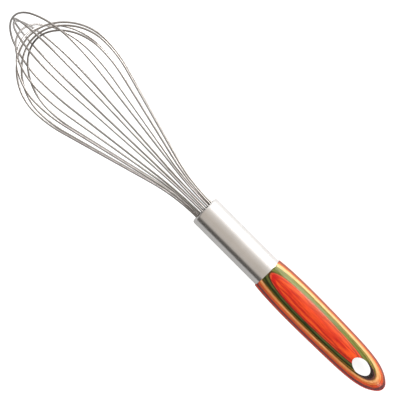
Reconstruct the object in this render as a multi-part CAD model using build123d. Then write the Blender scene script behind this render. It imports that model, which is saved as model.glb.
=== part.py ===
from build123d import *
import math
import os

# A balloon whisk, lying as it rests on a table: a cage of eight closed wire loops, a tube ferrule
# with its mouth turned in, a set plug that holds the wire ends, and a handle turned from a blank of
# dyed veneers bonded face to face, with an oval hang hole near its butt.
# It is drawn about the X axis, with X zero at the ferrule's mouth, the loops on the minus side and
# the handle on the plus side. Z is square to the veneers. At the end it is rolled onto two wires,
# tilted until the handle's underside touches too, and put over the origin. All in millimetres.

# Wire loops
wire_diameter = 1.2
loop_count = 8
ring_radius = 5.9             # centre line of the wires where they leave the ferrule
neck_radius = 120.0           # outward bend above the ferrule
belly_radius = 28.9           # centre line at the widest point
cage_length = 153.8           # from the ferrule's mouth to the tip of the longest loop
belly_share = 0.77            # of each loop's own length, from the mouth to its widest point
shoulder_share = 0.5          # shoulder bend over the largest that fits between neck and belly
nose_share = 0.87             # nose radius over the smaller of belly radius and reach
nest_depth = 18.2             # from the tip of the longest loop to the tip of the shortest
nest_shares = (0.0, 0.0, 0.0, 0.51, 0.78, 0.82, 0.95, 1.0)  # of the depth left over by the wires
crossing_gap = 0.08           # between two wires where they cross at the tip
turn_trims = (-2.0, -1.0, -3.0, 0.0, -4.5, 5.5, 1.5, -1.5)  # degrees each loop is off even spacing

# Ferrule
ferrule_diameter = 19.0
ferrule_length = 50.8
ferrule_wall = 1.0
mouth_corner_radius = 1.5
lip_clearance = 0.5           # round the cage of wires

# Plug that holds the wires
plug_length = 25.0
plug_clearance = 0.05
socket_depth = 22.0
socket_clearance = 0.02

# Handle
handle_length = 94.2
handle_diameter = 22.4
tenon_clearance = 0.1
tenon_end_gap = 0.3
tenon_chamfer = 1.0
joint_edge = 0.3              # chamfer of the handle's front edge, both ways
outline_shares = (
    (0.0, 0.90), (0.13, 0.98), (0.36, 1.0), (0.62, 0.957), (0.80, 0.87), (0.92, 0.64), (0.98, 0.33),
)
joint_rise_share = 1.6        # start slope of the outline, over its mean rise to the second point

# Veneers
veneer_thickness = 1.69
veneer_count = 14
dye_order = ("red", "green", "natural", "orange", "purple")

# Hang hole
hole_length = 15.6
hole_width = 8.6
hole_from_butt = 18.0
hole_turn = 5.5               # degrees about the axis, away from square to the veneers

# Cuts run past what they cut by this much
overrun = 5.0

# Resting place
lowest_loop = 1               # the loop nearly square to the veneers, which lies beside the next one
outline_steps = 200           # points tried along the handle's underside

wire_radius = wire_diameter / 2
ferrule_radius = ferrule_diameter / 2
bore_radius = ferrule_radius - ferrule_wall
handle_radius = handle_diameter / 2
butt_x = ferrule_length + handle_length
strand_turn = 180 / loop_count
crossing_pitch = wire_diameter + crossing_gap
wire_end_x = ferrule_wall + socket_depth


def loop_length(index):
    """Each loop ends one wire and a little more short of the loop outside it."""
    spare = nest_depth - (loop_count - 1) * crossing_pitch
    return cage_length - index * crossing_pitch - nest_shares[index] * spare


def loop_turn(index):
    """Degrees about the axis from the loop's drawing plane, which is square to Z."""
    return 90 + (index - lowest_loop) * strand_turn + turn_trims[index]


def loop_shape(length):
    """Belly distance, shoulder radius and flank angle of a loop, from bends joined by a tangent."""
    distance = belly_share * length
    flare = belly_radius - ring_radius
    largest_bend_sum = (distance**2 + flare**2) / (2 * flare)
    shoulder_radius = shoulder_share * (largest_bend_sum - neck_radius)
    bend_sum = neck_radius + shoulder_radius
    flank_length = math.sqrt(distance**2 + flare**2 - 2 * bend_sum * flare)
    flank_angle = math.atan2(flare - bend_sum, distance) + math.atan2(bend_sum, flank_length)
    return distance, shoulder_radius, flank_angle


def loop_path(length):
    """One closed outline in the XY plane, from wire end to wire end round the tip."""
    distance, shoulder_radius, flank_angle = loop_shape(length)
    sine, cosine = math.sin(flank_angle), math.cos(flank_angle)
    reach = length - distance
    nose_radius = nose_share * min(belly_radius, reach)
    nose_gap = reach - nose_radius
    front_radius = (nose_gap**2 / (belly_radius - nose_radius) + belly_radius + nose_radius) / 2

    end = Vector(wire_end_x, ring_radius)
    mouth = Vector(0, ring_radius)
    flank_foot = mouth + Vector(-neck_radius * sine, neck_radius * (1 - cosine))
    belly = Vector(-distance, belly_radius)
    flank_top = belly + Vector(shoulder_radius * sine, -shoulder_radius * (1 - cosine))
    front_centre = belly - Vector(0, front_radius)
    nose_centre = Vector(nose_radius - length, 0)
    nose_start = nose_centre + (nose_centre - front_centre).normalized() * nose_radius
    tip = Vector(-length, 0)

    upper = Curve() + [
        Line(end, mouth),
        TangentArc(mouth, flank_foot, tangent=(-1, 0)),
        Line(flank_foot, flank_top),
        TangentArc(flank_top, belly, tangent=(-cosine, sine)),
        TangentArc(belly, nose_start, tangent=(-1, 0)),
    ]
    nose = ThreePointArc(nose_start, tip, Vector(nose_start.X, -nose_start.Y))
    return (upper + nose + mirror(upper, Plane.XZ)).wire()


def wire_loop(index):
    """The first loop is longest. Each next one is turned by a step and lies inside the last."""
    path = loop_path(loop_length(index))
    start = Plane(path @ 0, z_dir=path % 0)
    loop = sweep(start * Circle(wire_radius), path=path)
    return Rot(X=loop_turn(index)) * loop


def ferrule():
    """Tube with its mouth spun inward to a narrow lip round the wires."""
    lip_radius = ring_radius + wire_radius + lip_clearance
    wall = Polyline(
        (0, lip_radius), (0, ferrule_radius), (ferrule_length, ferrule_radius),
        (ferrule_length, bore_radius), (ferrule_wall, bore_radius), (ferrule_wall, lip_radius),
        close=True,
    )
    section = make_face(wall)
    outer = Vector(0, ferrule_radius)
    inner = Vector(ferrule_wall, bore_radius)
    section = fillet(section.vertices().sort_by_distance(outer)[0], mouth_corner_radius)
    section = chamfer(section.vertices().sort_by_distance(inner)[0], mouth_corner_radius - ferrule_wall)
    return revolve(section, Axis.X)


def wire_plug():
    """Set block behind the lip, with one blind socket for each wire end."""
    seat = Plane((ferrule_wall, 0, 0), z_dir=(1, 0, 0))
    block = extrude(seat * Circle(bore_radius - plug_clearance), plug_length)
    block = chamfer(block.edges().sort_by(Axis.X)[0], mouth_corner_radius - ferrule_wall)
    socket = extrude(seat * Circle(wire_radius + socket_clearance), socket_depth)
    turns = [Rot(X=loop_turn(index)) for index in range(loop_count)]
    sides = [Pos(Y=ring_radius), Pos(Y=-ring_radius)]
    return block - [turn * side * socket for turn in turns for side in sides]


def handle_outline():
    """Half outline of the handle's bare length, from the front edge's chamfer to the butt."""
    front = ferrule_length + joint_edge
    points = [
        Vector(front + along * (butt_x - front), out * handle_radius) for along, out in outline_shares
    ]
    butt = Vector(butt_x, 0)
    rise = points[1] - points[0]
    start = Vector(rise.X, joint_rise_share * rise.Y)
    return Spline(points + [butt], tangents=(start, Vector(0, -1)))


def turned_blank():
    """The whole handle as it comes off the lathe and the drill, before it is told into veneers."""
    outline = handle_outline()
    tenon_radius = bore_radius - tenon_clearance
    tenon_x = ferrule_wall + plug_length + tenon_end_gap
    front_edge = outline @ 0
    tenon = Polyline(
        outline @ 1, (tenon_x, 0), (tenon_x, tenon_radius), (ferrule_length, tenon_radius),
        (ferrule_length, front_edge.Y - joint_edge), front_edge,
    )
    section = make_face([outline] + tenon.edges())
    tenon_corner = Vector(tenon_x, tenon_radius)
    section = chamfer(section.vertices().sort_by_distance(tenon_corner)[0], tenon_chamfer)
    blank = revolve(section, Axis.X)

    across = Pos(X=butt_x - hole_from_butt) * Rot(X=hole_turn)
    oval = across * Ellipse(hole_length / 2, hole_width / 2)
    return blank - extrude(oval, handle_radius + overrun, both=True)


def veneers(blank):
    """The blank parted at its glue lines, top sheet first. The outer two reach past the turning."""
    sheets = {}
    top = veneer_count * veneer_thickness / 2
    reach = handle_radius + overrun
    length = butt_x + overrun
    for number in range(veneer_count):
        upper = top - number * veneer_thickness
        lower = upper - veneer_thickness
        if number == 0:
            upper = upper + reach
        if number == veneer_count - 1:
            lower = lower - reach
        slab = Pos(0, 0, lower) * Box(
            length, 2 * reach, upper - lower, align=(Align.MIN, Align.CENTER, Align.MIN)
        )
        dye = dye_order[number % len(dye_order)]
        sheets[f"veneer_{number + 1:02}_{dye}"] = blank & slab
    return sheets


def resting_pitch():
    """Angle that brings the handle's underside onto the plane of the two lowest wires."""
    distance, shoulder_radius, flank_angle = loop_shape(loop_length(lowest_loop))
    between = loop_turn(lowest_loop + 1) - loop_turn(lowest_loop)
    lean = math.cos(math.radians(between / 2))
    centre = Vector(-distance, (shoulder_radius - belly_radius) * lean)
    bend = shoulder_radius * lean + wire_radius
    outline = handle_outline()
    pitches = []
    for step in range(outline_steps):
        point = outline @ (step / outline_steps)
        gap = Vector(point.X, -point.Y) - centre
        pitches.append(math.atan2(gap.Y, gap.X) + math.asin(bend / gap.length))
    return math.degrees(min(pitches))


parts = {f"wire_loop_{index + 1}": wire_loop(index) for index in range(loop_count)}
parts["ferrule"] = ferrule()
parts["wire_plug"] = wire_plug()
parts.update(veneers(turned_blank()))

# Rolled onto two wires, tilted onto the handle, then centred over the origin with its foot at Z zero
roll = 90 - (loop_turn(lowest_loop) + loop_turn(lowest_loop + 1)) / 2
pose = Rot(Y=resting_pitch()) * Rot(X=roll)
posed = {name: pose * shape for name, shape in parts.items()}
box = Compound(list(posed.values())).bounding_box()
home = Pos(-box.center().X, -box.center().Y, -box.min.Z)

os.makedirs("parts", exist_ok=True)
for name, shape in posed.items():
    export_step(home * shape, f"parts/{name}.step")
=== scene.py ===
import math

import bmesh
import bpy
from mathutils import Matrix, Vector


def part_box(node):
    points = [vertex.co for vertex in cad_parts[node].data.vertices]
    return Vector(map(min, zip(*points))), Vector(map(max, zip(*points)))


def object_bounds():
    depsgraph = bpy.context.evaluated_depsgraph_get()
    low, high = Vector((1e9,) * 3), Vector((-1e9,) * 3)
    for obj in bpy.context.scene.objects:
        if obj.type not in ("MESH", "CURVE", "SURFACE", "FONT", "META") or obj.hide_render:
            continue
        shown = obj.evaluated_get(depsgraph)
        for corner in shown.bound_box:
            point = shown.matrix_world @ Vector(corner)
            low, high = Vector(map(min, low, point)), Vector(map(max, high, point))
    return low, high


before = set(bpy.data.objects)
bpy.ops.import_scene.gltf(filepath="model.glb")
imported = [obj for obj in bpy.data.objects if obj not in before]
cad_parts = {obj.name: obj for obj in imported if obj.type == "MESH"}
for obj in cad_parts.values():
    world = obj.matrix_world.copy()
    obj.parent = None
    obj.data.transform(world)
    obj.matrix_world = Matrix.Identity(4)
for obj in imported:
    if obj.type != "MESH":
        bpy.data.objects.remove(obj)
cad_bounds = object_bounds()

# How the whisk lies
# It rests on two loops and the handle's underside, so its long axis drops towards the butt and it
# is rolled a little about that axis. Sizes along the axis start at the ferrule's mouth.
lying_drop = math.radians(4.586)
lying_roll = math.radians(-9.25)
ferrule_length = 0.0508

ferrule_low, ferrule_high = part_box("ferrule")
lie = Matrix.Rotation(lying_drop, 3, "Y") @ Matrix.Rotation(lying_roll, 3, "X")
mouth = (ferrule_low + ferrule_high) / 2 - lie @ Vector((ferrule_length / 2, 0, 0))


# Camera
# It looks almost straight down from about a metre, at a point close to the ferrule's mouth, and is
# turned so that the whisk lies from corner to corner of the picture.
camera_distance = 0.9682
camera_lens = 153.0            # in the lens's own millimetres, as the sensor's width is
sensor_width = 36
view_turn = math.radians(5.7)  # about the whisk's axis, from square to the veneers
view_tilt = math.radians(1.5)  # the head stands towards the camera
aim_along = -0.00552
aim_across = 0.00222


def place_camera():
    towards = Vector((0, -math.sin(view_turn), math.cos(view_turn)))
    across = lie @ Vector((0, math.cos(view_turn), math.sin(view_turn)))
    back = lie @ (math.cos(view_tilt) * towards - Vector((math.sin(view_tilt), 0, 0)))
    along = lie @ (Vector((math.cos(view_tilt), 0, 0)) + math.sin(view_tilt) * towards)
    right = (along + across) / math.sqrt(2)
    up = (across - along) / math.sqrt(2)
    data = bpy.data.cameras.new("camera")
    data.lens = camera_lens
    data.sensor_width = sensor_width
    camera = bpy.data.objects.new("camera", data)
    camera.matrix_world = Matrix((right, up, back)).transposed().to_4x4()
    camera.location = mouth + aim_along * along + aim_across * across + camera_distance * back
    bpy.context.scene.collection.objects.link(camera)
    bpy.context.scene.camera = camera


place_camera()
bpy.context.scene.view_settings.view_transform = "Standard"


# Table
# A plain white table top that takes the whisk's shadow. The camera sees it white, and the steel
# mirrors it as a painted reflection, grey beyond the whisk and nearly black on the near side,
# standing in for light on the far side and shade on the near side.
table_half = 3.0
table_gap = 0.0001              # under the whisk's lowest point
table_tone = 0.55
table_roughness = 0.9
table_gloss = 0.1
table_seen = 0.85               # lift to white where the camera sees it
table_painted_reflection = (0.1, 0.55)    # painted reflection in the steel, near side and far side
table_blend = 0.02              # half the width over which the near side turns into the far side


def fill(tree, node, given):
    """Fill a node's sockets, by name or number, with values or links."""
    for socket, value in dict(given).items():
        if isinstance(value, bpy.types.NodeSocket):
            tree.links.new(value, node.inputs[socket])
        else:
            node.inputs[socket].default_value = value
    return node


def add(tree, kind, given=(), **settings):
    """A new shader node with its settings made and its sockets filled."""
    node = tree.nodes.new("ShaderNode" + kind)
    for name, value in settings.items():
        setattr(node, name, value)
    return fill(tree, node, given)


def worked(tree, operation, *values):
    """The result of one sum."""
    return add(tree, "Math", enumerate(values), operation=operation).outputs[0]


def mapped(tree, value, given, wanted, **settings):
    """The value carried from the given range to the wanted one and held at both ends."""
    ends = dict(zip(("From Min", "From Max", "To Min", "To Max"), (*given, *wanted)))
    return add(tree, "MapRange", {"Value": value, **ends}, **settings).outputs[0]


def new_material(name):
    material = bpy.data.materials.new(name)
    material.use_nodes = True
    tree = material.node_tree
    return material, tree, tree.nodes["Principled BSDF"]


def table_material():
    material, tree, surface = new_material("table white")
    path = add(tree, "LightPath")
    place = add(tree, "TexCoord").outputs["Object"]
    across = add(tree, "SeparateXYZ", {0: place}).outputs["Y"]
    # painted reflection: the steel sees the table dark on the near side and grey on the far side
    side = mapped(tree, across, (-table_blend, table_blend), table_painted_reflection)
    painted_reflection = worked(tree, "MULTIPLY", path.outputs["Is Glossy Ray"], side)
    seen = path.outputs["Is Camera Ray"]
    fill(tree, surface, {
        "Base Color": (table_tone, table_tone, table_tone, 1),
        "Roughness": table_roughness,
        "Specular IOR Level": table_gloss,
        "Emission Color": (1, 1, 1, 1),
        "Emission Strength": worked(tree, "MULTIPLY_ADD", seen, table_seen, painted_reflection),
    })
    return material


def make_table():
    mesh = bmesh.new()
    bmesh.ops.create_grid(mesh, x_segments=1, y_segments=1, size=table_half)
    bmesh.ops.translate(mesh, verts=mesh.verts, vec=(0, 0, cad_bounds[0].z - table_gap))
    data = bpy.data.meshes.new("table")
    mesh.to_mesh(data)
    mesh.free()
    data.materials.append(table_material())
    table = bpy.data.objects.new("table", data)
    bpy.context.scene.collection.objects.link(table)


make_table()


# Lamps and room
# A plain studio. One large soft lamp stands on the far side of the whisk and a weaker one beyond
# its butt. The room's near side is dark in what the steel mirrors, but lights dull surfaces well.
lamps = (  # place, width and power
    (Vector((0.0, 1.0, 0.26)), 0.6, 11.0),
    (Vector((1.2, 0.0, 0.18)), 0.5, 4.5),
)
room_light = 0.53
near_light = 1.8                # low on the near side, for dull surfaces
near_light_ends = (math.radians(-90), math.radians(-30))
room_bands = (  # degrees from overhead, minus on the near side, how bright and how warm it is
    (-110, 0.10, 0.12), (-62, 0.08, 0.12), (-50, 0.56, 0.14), (-10, 0.58, 0.18),
    (24, 0.74, 0.10), (46, 1.2, 0.04), (110, 1.2, 0.02),
)


def hang_lamps():
    for place, width, power in lamps:
        data = bpy.data.lights.new("lamp", "AREA")
        data.shape = "SQUARE"
        data.size = width
        data.energy = power
        lamp = bpy.data.objects.new("lamp", data)
        lamp.location = place
        lamp.rotation_mode = "QUATERNION"
        lamp.rotation_quaternion = (-place).to_track_quat("-Z", "Y")
        bpy.context.scene.collection.objects.link(lamp)


def ramp(tree, value, stops):
    """The colour at a value, between stops of a place and a colour each."""
    node = add(tree, "ValToRGB", {0: value})
    elements = node.color_ramp.elements
    while len(elements) < len(stops):
        elements.new(0.5)
    for element, (place, colour) in zip(elements, stops):
        element.position = place
        element.color = colour
    return node.outputs[0]


def mixed(tree, share, first, second, kind="RGBA"):
    """The first value, turned into the second by a share."""
    given = {"Factor": share, "A": first, "B": second}
    return add(tree, "Mix", given, data_type=kind).outputs["Result"]


def paint_room():
    """Direction round the whisk's axis sets what metal and lacquer mirror."""
    world = bpy.data.worlds.new("room")
    bpy.context.scene.world = world
    world.use_nodes = True
    tree = world.node_tree
    place = add(tree, "TexCoord").outputs["Generated"]
    split = add(tree, "SeparateXYZ", {0: place})
    angle = worked(tree, "ARCTAN2", split.outputs["Y"], split.outputs["Z"])
    walls = ramp(tree, mapped(tree, angle, (-math.pi, math.pi), (0, 1)), [
        ((degrees + 180) / 360, (level, level * (1 - warmth / 2), level * (1 - warmth), 1))
        for degrees, level, warmth in room_bands
    ])
    soft = mapped(tree, angle, near_light_ends, (near_light, room_light))
    path = add(tree, "LightPath")
    lit = mixed(tree, path.outputs["Is Glossy Ray"], soft, walls)
    seen = mixed(tree, path.outputs["Is Camera Ray"], lit, (1, 1, 1, 1))
    fill(tree, tree.nodes["Background"], {"Color": seen})


hang_lamps()
paint_room()


# Wire loops
# Eight loops of drawn stainless wire, polished after bending and held at both ends in the plug
# inside the ferrule. Use has left faint smudges and scuffs. Near the mouth, where the wires crowd
# together, they are darkened with painted shade.
neck_shade_reach = 0.035              # of the painted shade, in front of the mouth
smudge_ends = (0.3, 0.7)        # of the noise, from fully smudged to clean
smudge_tone = 0.9               # of the clean tone
line_ends = (0.35, 0.65)        # of the noise, from smooth to rough
line_squeeze = 0.02             # of a turned line, its width over its length round the axis
line_strength = 0.3
line_depth = 0.000002


def whisk_place(tree):
    """Place in the whisk's own axes, from the middle of the ferrule's mouth."""
    place = add(tree, "TexCoord").outputs["Object"]
    given = {"Vector": place, "Location": mouth, "Rotation": (lying_roll, lying_drop, 0)}
    return add(tree, "Mapping", given, vector_type="TEXTURE").outputs[0]


def new_group(name, given, results):
    """A node group of plain numbers, with its input node and its output node."""
    group = bpy.data.node_groups.new(name, "ShaderNodeTree")
    for way, sockets in (("INPUT", given), ("OUTPUT", results)):
        for socket in sockets:
            group.interface.new_socket(socket, in_out=way, socket_type="NodeSocketFloat")
    return group, group.nodes.new("NodeGroupInput"), group.nodes.new("NodeGroupOutput")


def steel_wear_and_shade_group():
    """Faint smudges, fine turned lines and the painted shade near the mouth."""
    group, given, result = new_group(
        "steel wear and shade", ("Smudge Scale", "Line Scale"), ("Smudge", "Lines", "Neck Shade")
    )
    place = whisk_place(group)
    squeeze = {0: place, 1: (1.0, line_squeeze, line_squeeze)}
    squeezed = add(group, "VectorMath", squeeze, operation="MULTIPLY").outputs[0]
    smudge = add(group, "TexNoise", {
        "Vector": place, "Scale": given.outputs["Smudge Scale"], "Detail": 4, "Roughness": 0.6,
    })
    lines = add(group, "TexNoise", {
        "Vector": squeezed, "Scale": given.outputs["Line Scale"], "Detail": 6, "Roughness": 0.7,
    })
    along = add(group, "SeparateXYZ", {0: place}).outputs["X"]
    fill(group, result, {
        "Smudge": smudge.outputs["Fac"],
        "Lines": lines.outputs["Fac"],
        "Neck Shade": mapped(group, along, (-neck_shade_reach, 0), (0, 1)),
    })
    return group


steel_wear_and_shade = steel_wear_and_shade_group()


def steel_material(name, tone, roughness, neck_shade, smudge_scale, line_scale):
    """Stainless steel that is darker under smudges and under painted shade near the mouth, and
    rougher on its lines.
    """
    material, tree, surface = new_material(name)
    scales = {"Smudge Scale": smudge_scale, "Line Scale": line_scale}
    wear_and_shade = add(tree, "Group", scales, node_tree=steel_wear_and_shade).outputs
    tones = ((*(smudge_tone * level for level in tone), 1), (*tone, 1))
    smudged = ramp(tree, wear_and_shade["Smudge"], tuple(zip(smudge_ends, tones)))
    # painted shade: the wires darken towards the mouth, where they crowd together
    left = mapped(tree, wear_and_shade["Neck Shade"], (0, 1), (1, 1 - neck_shade))
    neck_shaded = add(tree, "VectorMath", {0: smudged, "Scale": left}, operation="SCALE")
    bump = add(tree, "Bump", {
        "Height": wear_and_shade["Lines"], "Strength": line_strength, "Distance": line_depth,
    })
    fill(tree, surface, {
        "Metallic": 1,
        "Base Color": neck_shaded.outputs[0],
        "Roughness": mapped(tree, wear_and_shade["Lines"], line_ends, roughness),
        "Normal": bump.outputs[0],
    })
    return material


def dress(node, material):
    node.data.materials.clear()
    node.data.materials.append(material)


wire_steel = steel_material(
    "polished wire", tone=(0.42, 0.395, 0.375), roughness=(0.27, 0.31), neck_shade=0.24,
    smudge_scale=90, line_scale=240,
)
for name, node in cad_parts.items():
    if name.startswith("wire_loop_"):
        dress(node, wire_steel)


# Ferrule
# A tube of stainless steel with its mouth spun inward over the wires. It was finished on the lathe
# with fine cloth, which leaves a satin of very fine lines round it.
ferrule_steel = steel_material(
    "satin ferrule", tone=(0.84, 0.82, 0.80), roughness=(0.20, 0.26), neck_shade=0.0,
    smudge_scale=60, line_scale=9000,
)
dress(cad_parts["ferrule"], ferrule_steel)


# Plug
# The wire ends stand in a dark set resin that fills the ferrule's mouth. It shows only between the
# wires, as a dark face just behind the lip.
resin_tones = ((0, (0.02, 0.017, 0.015, 1)), (1, (0.06, 0.05, 0.045, 1)))
resin_roughness = (0.35, 0.6)
grit_scale = 1500
grit_depth = 0.00005


def resin_material():
    material, tree, surface = new_material("dark resin")
    place = add(tree, "TexCoord").outputs["Object"]
    given = {"Vector": place, "Scale": grit_scale, "Detail": 4}
    grit = add(tree, "TexNoise", given).outputs["Fac"]
    fill(tree, surface, {
        "Base Color": ramp(tree, grit, resin_tones),
        "Roughness": mapped(tree, grit, (0, 1), resin_roughness),
        "Normal": add(tree, "Bump", {"Height": grit, "Distance": grit_depth}).outputs[0],
    })
    return material


dress(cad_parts["wire_plug"], resin_material())


# Handle
# Fourteen sheets of birch, dyed through and bonded face to face, then turned and lacquered. The
# dye lies unevenly, in bands near the glue lines and streaks along the grain, which the turning
# opens into long ovals. The far, lit side is painted paler as painted light, most near the joint.
# Where the hole was cut it is scorched, and the same dark colour paints the shade in the hole.
veneer_thickness = 0.00169
veneer_count = 14
handle_length = 0.0942
hole_from_butt = 0.018
hole_half_length = 0.0078
hole_half_width = 0.0043
hole_turn = math.radians(5.5)

grain_rates = (40, 650, 7.3)    # along and across to the metre, and from sheet to sheet
grain_roughness = 0.62
pore_rates = (260, 5200, 2600)  # along, across and through the sheets, to the metre
waviness = 0.16                 # of the bands, in sheets
glue_line_shift = 0.0001        # keeps a face on a glue line with the sheet above it
band_sink = 0.34                # of a sheet, from the joint to the butt
butt_sink = 0.24                # more, where the handle closes in
closing_shares = (0.90, 0.95)   # of the handle's length, over which it does
painted_light_reach = 0.006              # from the axis to where the painted light is full
painted_light_at_butt = 0.5              # of the painted light at the joint
scorch_and_shade_reach = 0.0008           # past the hole's edge on the butt side
scorch_and_shade_edge = 1.07              # of the hole's oval, squared, where the scorch and painted shade end

vein_ends = (0.47, 0.60)        # of the grain, from none to full
vein_strength = 0.86
pore_ends = (0.3, 0.7)
pore_shades = (0.84, 1.18)
pore_strength = 0.25
pore_depth = 0.00003
wood_roughness = (0.5, 0.7)
wood_gloss = 0.1
lacquer_weight = 0.28
lacquer_roughness = 0.12
# Display colour round the hole: partly real scorch, partly painted shade on the hole's wall
scorched_and_shaded = "6e423a"

# Display colours of each dye from the lower glue line of a sheet to the upper one
dyes = {
    "red": (
        (0.0, "35140a"), (0.035, "6a1c0c"), (0.06, "e05c34"), (0.11, "e8542c"), (0.15, "d61e14"),
        (0.28, "da1e14"), (0.35, "fa561e"), (0.43, "fc5a1e"), (0.54, "f04c1c"), (0.64, "de3418"),
        (0.76, "ee4c1c"), (0.93, "d03a1c"), (1.0, "4a1a14"),
    ),
    "green": (
        (0.0, "4a3408"), (0.08, "4c4808"), (0.28, "565c0c"), (0.42, "343a06"), (0.52, "181e06"),
        (0.62, "30380a"), (0.76, "5c6428"), (0.88, "666c34"), (0.95, "4a4018"), (1.0, "2a1408"),
    ),
    "natural": (
        (0.0, "9a4420"), (0.05, "e0702e"), (0.3, "ea7c36"), (0.36, "c8562a"), (0.41, "f4a260"),
        (0.7, "f8b274"), (0.74, "f0b074"), (0.88, "a0682e"), (1.0, "3c3408"),
    ),
    "orange": (
        (0.0, "4a2020"), (0.06, "6e3430"), (0.26, "7a3e36"), (0.31, "b4401e"), (0.45, "e45024"),
        (0.58, "cc401c"), (0.7, "ea5624"), (0.92, "de4c22"), (1.0, "6e2a12"),
    ),
    "purple": (
        (0.0, "8a3026"), (0.1, "6c3034"), (0.5, "643038"), (0.9, "703432"), (1.0, "3a1818"),
    ),
}
# Display colour of the streaks that run through each dye
streak_dyes = {
    "red": "c01610", "green": "242c06", "natural": "d88848", "orange": "b84620", "purple": "442028",
}
# Display colour that each dye is painted towards on the far side as painted light, and how far
painted_light_dyes = {
    "red": ("f08a5c", 0.45), "green": ("b8bc44", 0.34), "natural": ("ffe6a2", 0.6),
    "orange": ("d88c50", 0.35), "purple": ("8a4a44", 0.3),
}
# Dye of the sheet above each sheet
dye_above = {
    "red": "purple", "green": "red", "natural": "green", "orange": "natural", "purple": "orange",
}


def linear(code):
    """Linear colour of a six figure display colour."""
    levels = [int(code[at:at + 2], 16) / 255 for at in (0, 2, 4)]
    return (*(
        level / 12.92 if level <= 0.04045 else ((level + 0.055) / 1.055) ** 2.4
        for level in levels
    ), 1)


def veneer_group():
    """Height between glue lines, where the dye above shows, streaks, pores, painted light and
    scorch with painted shade.
    """
    group, given, result = new_group(
        "dyed veneer", ("Waviness",), ("Depth", "Above", "Streaks", "Pores", "Fade", "Scorch And Shade")
    )

    def work(operation, *values):
        return worked(group, operation, *values)

    def noise(places, rates, detail, roughness):
        scaled = [work("MULTIPLY", place, rate) for place, rate in zip(places, rates)]
        place = add(group, "CombineXYZ", enumerate(scaled)).outputs[0]
        settings = {"Vector": place, "Scale": 1, "Detail": detail, "Roughness": roughness}
        return add(group, "TexNoise", settings).outputs["Fac"]

    along, across, height = add(group, "SeparateXYZ", {0: whisk_place(group)}).outputs
    sheets = work("DIVIDE", height, veneer_thickness)
    sheets = work("ADD", sheets, veneer_count / 2 + glue_line_shift)
    sheet = work("FLOOR", sheets)
    streaks = noise((along, across, sheet), grain_rates, 5, grain_roughness)
    pores = noise((along, across, height), pore_rates, 2, 0.5)

    swing = work("MULTIPLY", work("SUBTRACT", streaks, 0.5), given.outputs["Waviness"])
    reach = work("DIVIDE", work("SUBTRACT", along, ferrule_length), handle_length)
    sink = work("MULTIPLY", work("MAXIMUM", reach, 0), band_sink)
    sink = work("ADD", sink, mapped(group, reach, closing_shares, (0, butt_sink)))
    level = work("ADD", work("ADD", work("FRACT", sheets), swing), sink)
    above = work("GREATER_THAN", level, 1)

    # painted light: the far side is painted paler, most near the joint
    painted_light_side = mapped(group, across, (0, painted_light_reach), (0, 1), interpolation_type="SMOOTHSTEP")
    bare_length = (ferrule_length, ferrule_length + handle_length)
    painted_light_along = mapped(group, along, bare_length, (1, painted_light_at_butt))

    # scorch with painted shade: dark on the hole's wall and just past its edge
    hole_x = ferrule_length + handle_length - hole_from_butt
    from_hole = work("SUBTRACT", along, hole_x + scorch_and_shade_reach / 2)
    from_hole = work("DIVIDE", from_hole, hole_half_length + scorch_and_shade_reach / 2)
    turned = work(
        "ADD",
        work("MULTIPLY", across, math.cos(hole_turn)),
        work("MULTIPLY", height, math.sin(hole_turn)),
    )
    beside = work("DIVIDE", turned, hole_half_width)
    oval = work("ADD", work("POWER", from_hole, 2), work("POWER", beside, 2))
    fill(group, result, {
        "Depth": work("SUBTRACT", level, above),
        "Above": above,
        "Streaks": streaks,
        "Pores": pores,
        "Fade": work("MULTIPLY", painted_light_side, painted_light_along),
        "Scorch And Shade": mapped(group, oval, (1, scorch_and_shade_edge), (1, 0)),
    })
    return group


dyed_veneer = veneer_group()


def veneer_material(dye):
    material, tree, surface = new_material(f"{dye} veneer")
    wood = add(tree, "Group", {"Waviness": waviness}, node_tree=dyed_veneer).outputs
    shown = (dye, dye_above[dye])

    def either(values, kind="RGBA"):
        """The sheet's own value, or that of the dye above it where the bands have sunk."""
        return mixed(tree, wood["Above"], *values, kind)

    bands = [
        ramp(tree, wood["Depth"], [(depth, linear(code)) for depth, code in dyes[each]])
        for each in shown
    ]
    streaks = [linear(streak_dyes[each]) for each in shown]
    veins = mapped(tree, wood["Streaks"], vein_ends, (0, vein_strength))
    veined = mixed(tree, veins, either(bands), either(streaks))

    painted_light_colours = [linear(painted_light_dyes[each][0]) for each in shown]
    painted_light_shares = [painted_light_dyes[each][1] for each in shown]
    # painted light on the far side, mixed towards a paler colour
    painted_light_share = worked(tree, "MULTIPLY", wood["Fade"], either(painted_light_shares, "FLOAT"))
    colour = mixed(tree, painted_light_share, veined, either(painted_light_colours))
    shade = mapped(tree, wood["Pores"], pore_ends, pore_shades)
    grained = add(tree, "VectorMath", {0: colour, "Scale": shade}, operation="SCALE").outputs[0]

    bump = add(tree, "Bump", {
        "Height": wood["Pores"], "Strength": pore_strength, "Distance": pore_depth,
    })
    fill(tree, surface, {
        "Base Color": mixed(tree, wood["Scorch And Shade"], grained, linear(scorched_and_shaded)),
        "Roughness": mapped(tree, wood["Pores"], (0, 1), wood_roughness),
        "Specular IOR Level": wood_gloss,
        "Coat Weight": mapped(tree, wood["Scorch And Shade"], (0, 1), (lacquer_weight, 0)),
        "Coat Roughness": lacquer_roughness,
        "Normal": bump.outputs[0],
    })
    return material


for dye in dyes:
    wood = veneer_material(dye)
    for name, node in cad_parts.items():
        if name.startswith("veneer_") and name.endswith(dye):
            dress(node, wood)
